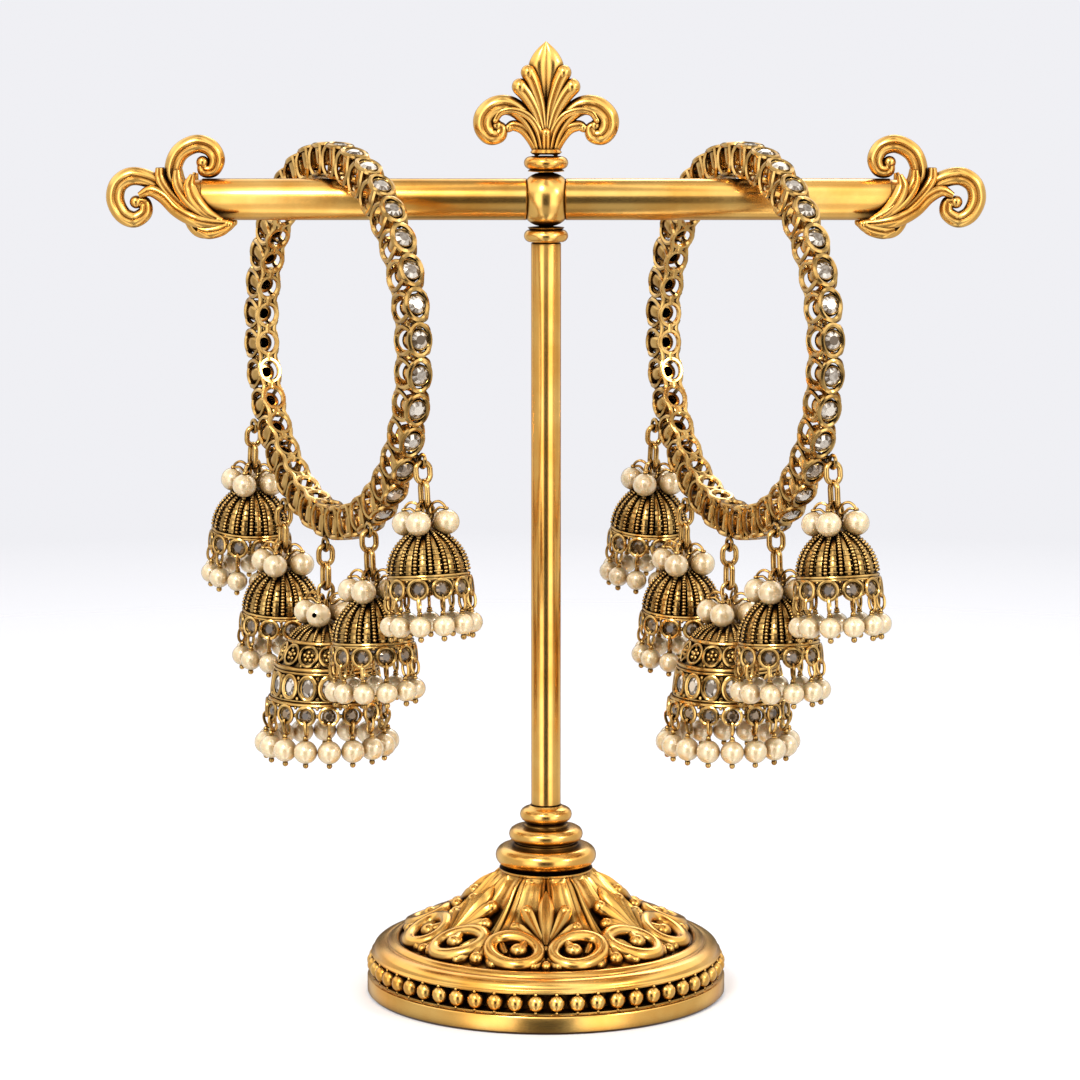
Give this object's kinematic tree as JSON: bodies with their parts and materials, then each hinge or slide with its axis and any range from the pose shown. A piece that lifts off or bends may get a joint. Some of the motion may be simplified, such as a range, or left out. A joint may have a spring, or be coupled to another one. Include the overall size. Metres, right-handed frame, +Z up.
{
  "type": "pair of jhumka charm bangles on a display stand",
  "caption": "Pair of pierced bangles set with stones, hung with bell-shaped jhumka drops and pearl fringes, on a gilt T-bar stand with scroll ends, a lily finial and a round foot.",
  "frame": {"origin": "centre of the stand's flat underside", "axes": "+Z up, +X along the crossbar to the right as seen from the front, -Y to the front"},
  "size_m": [0.16, 0.0813, 0.1766],
  "materials": {
    "polished_gold": "polished gold plate",
    "antique_gold": "antique gold with dark recesses",
    "pearl_cream": "imitation pearl, soft gloss"
  },
  "bodies": {
    "stand_and_bangles": {"stand_foot": "polished_gold", "stand_collar": "polished_gold", "stand_post": "polished_gold", "stand_hub": "polished_gold", "stand_arm_left": "polished_gold", "stand_arm_right": "polished_gold", "stand_scroll_left": "polished_gold", "stand_scroll_right": "polished_gold", "stand_finial": "polished_gold", "left_band": "antique_gold", "left_drop1_chain": "antique_gold", "left_drop1_pearls": "pearl_cream", "left_drop1_dome": "antique_gold", "left_drop1_fringe": "pearl_cream", "left_drop2_chain": "antique_gold", "left_drop2_pearls": "pearl_cream", "left_drop2_dome": "antique_gold", "left_drop2_fringe": "pearl_cream", "left_main_drop_chain": "antique_gold", "left_drop3_chain": "antique_gold", "left_drop3_pearls": "pearl_cream", "left_drop3_dome": "antique_gold", "left_drop3_fringe": "pearl_cream", "left_drop4_chain": "antique_gold", "left_drop4_pearls": "pearl_cream", "left_drop4_dome": "antique_gold", "left_drop4_fringe": "pearl_cream", "right_band": "antique_gold", "right_drop1_chain": "antique_gold", "right_drop1_pearls": "pearl_cream", "right_drop1_dome": "antique_gold", "right_drop1_fringe": "pearl_cream", "right_drop2_chain": "antique_gold", "right_drop2_pearls": "pearl_cream", "right_drop2_dome": "antique_gold", "right_drop2_fringe": "pearl_cream", "right_main_drop_chain": "antique_gold", "right_drop3_chain": "antique_gold", "right_drop3_pearls": "pearl_cream", "right_drop3_dome": "antique_gold", "right_drop3_fringe": "pearl_cream", "right_drop4_chain": "antique_gold", "right_drop4_pearls": "pearl_cream", "right_drop4_dome": "antique_gold", "right_drop4_fringe": "pearl_cream"},
    "left_main_drop": {"left_main_drop_pearls": "pearl_cream", "left_main_drop_dome": "antique_gold", "left_main_drop_fringe": "pearl_cream"},
    "right_main_drop": {"right_main_drop_pearls": "pearl_cream", "right_main_drop_dome": "antique_gold", "right_main_drop_fringe": "pearl_cream"}
  },
  "joints": [
    {"name": "left_main_drop_swing", "type": "hinge", "parent": "stand_and_bangles", "child": "left_main_drop", "pos_m": [-0.04074, -0.00097, 0.07617], "axis": [-0.4648, 0.8854, 0], "range_deg": [-25, 25]},
    {"name": "right_main_drop_swing", "type": "hinge", "parent": "stand_and_bangles", "child": "right_main_drop", "pos_m": [0.03389, -0.00083, 0.07617], "axis": [-0.4003, 0.9164, 0], "range_deg": [-25, 25]}
  ]
}
